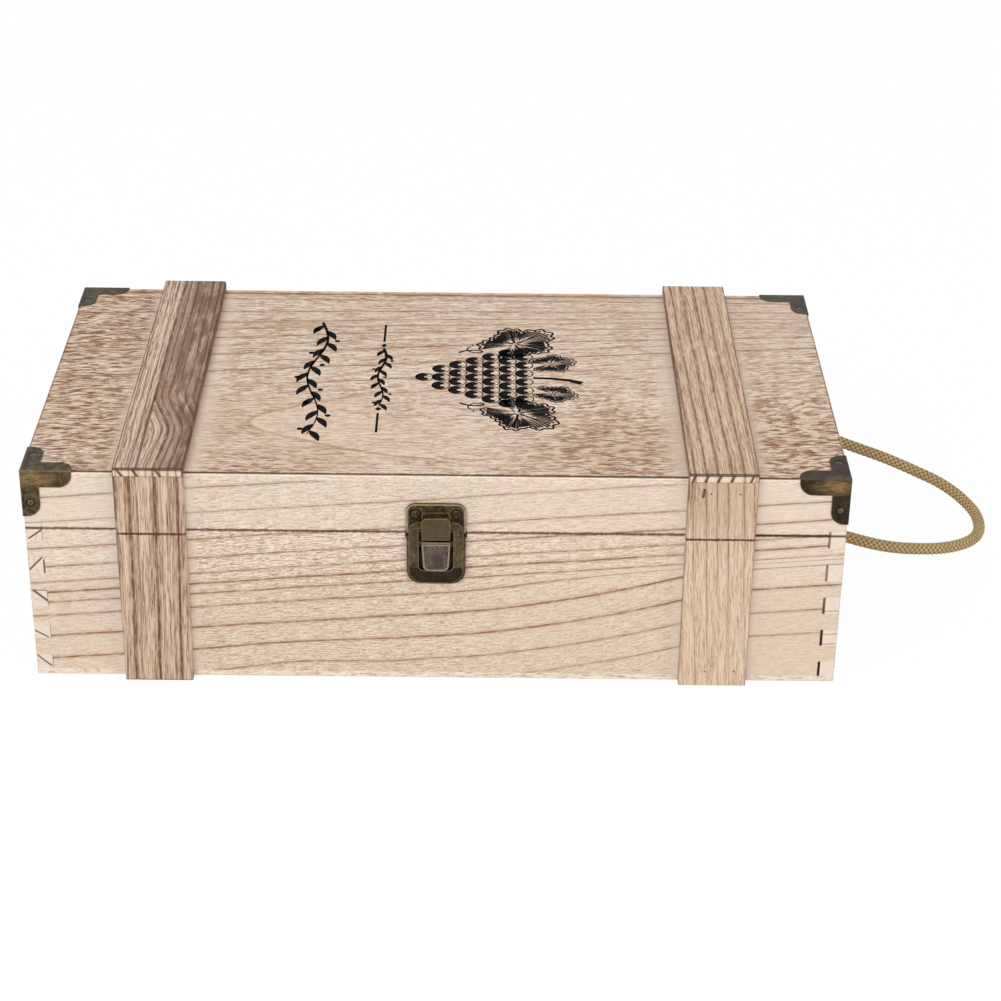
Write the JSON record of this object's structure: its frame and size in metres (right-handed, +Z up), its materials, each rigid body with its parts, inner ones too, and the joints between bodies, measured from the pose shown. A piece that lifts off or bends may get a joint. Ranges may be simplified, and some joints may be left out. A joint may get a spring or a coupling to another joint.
{
  "type": "wine box",
  "caption": "Long shallow box of finger-jointed boards for two bottles, with a hinged lid, a lever draw latch, corner protectors, raised slats and a rope loop on one end.",
  "frame": {"origin": "middle of the underside of the bottom panel", "axes": "+X to the right along the box, towards the end with the rope; +Y to the back, where the hinges are; +Z up"},
  "size_m": [0.4303, 0.1995, 0.1052],
  "materials": {
    "board_wood": "pale paulownia, sanded, unvarnished",
    "end_wood": "pale paulownia, sanded, end grain at the fingers",
    "top_wood": "scorched and brushed",
    "slat_wood": "scorched and brushed, dark edges",
    "panel_wood": "pale paulownia, sanded",
    "bronze": "antique bronze, worn brighter on the edges",
    "lever_bronze": "antique bronze, satin",
    "screw_bronze": "bronze plated, satin",
    "pin_bronze": "bronze, worn",
    "rope": "braided cord, matt"
  },
  "bodies": {
    "base": {"base_front_board": "board_wood", "base_back_board": "board_wood", "base_left_end": "end_wood", "base_right_end": "end_wood", "bottom_panel": "panel_wood", "bottle_divider": "panel_wood", "base_front_slat_left": "slat_wood", "base_front_slat_right": "slat_wood", "rope_handle": "rope", "rope_knots": "rope", "latch_base_plate": "bronze", "latch_base_screws": "screw_bronze", "latch_pivot_pin": "pin_bronze", "base_hinge_leaf_left": "bronze", "base_hinge_leaf_right": "bronze", "base_hinge_screws": "pin_bronze", "hinge_pin_left": "pin_bronze", "hinge_pin_right": "pin_bronze"},
    "lid": {"lid_front_board": "board_wood", "lid_back_board": "board_wood", "lid_left_end": "end_wood", "lid_right_end": "end_wood", "lid_top_panel": "top_wood", "lid_front_slat_left": "slat_wood", "lid_front_slat_right": "slat_wood", "lid_top_slat_left": "slat_wood", "lid_top_slat_right": "slat_wood", "corner_front_left": "bronze", "corner_front_right": "bronze", "corner_back_left": "bronze", "corner_back_right": "bronze", "corner_nails": "pin_bronze", "catch_plate": "bronze", "catch_screws": "screw_bronze", "lid_hinge_leaf_left": "bronze", "lid_hinge_leaf_right": "bronze", "lid_hinge_screws": "pin_bronze"},
    "latch_lever": {"latch_lever": "lever_bronze", "draw_pin": "pin_bronze"},
    "latch_frame": {"latch_frame": "bronze"}
  },
  "joints": [
    {"name": "lid_hinge", "type": "hinge", "parent": "base", "child": "lid", "pos_m": [0, 0.0972, 0.0736], "axis": [-1, 0, 0], "range_deg": [0, 180]},
    {"name": "latch_lever_hinge", "type": "hinge", "parent": "base", "child": "latch_lever", "pos_m": [0, -0.0972, 0.0695], "axis": [-1, 0, 0], "range_deg": [0, 100]},
    {"name": "draw_frame_hinge", "type": "hinge", "parent": "latch_lever", "child": "latch_frame", "pos_m": [0, -0.09675, 0.0645], "axis": [-1, 0, 0], "range_deg": [-78, 0]}
  ],
  "couplings": [
    {"joint": "draw_frame_hinge", "follows": "latch_lever_hinge", "ratio": -0.78}
  ]
}
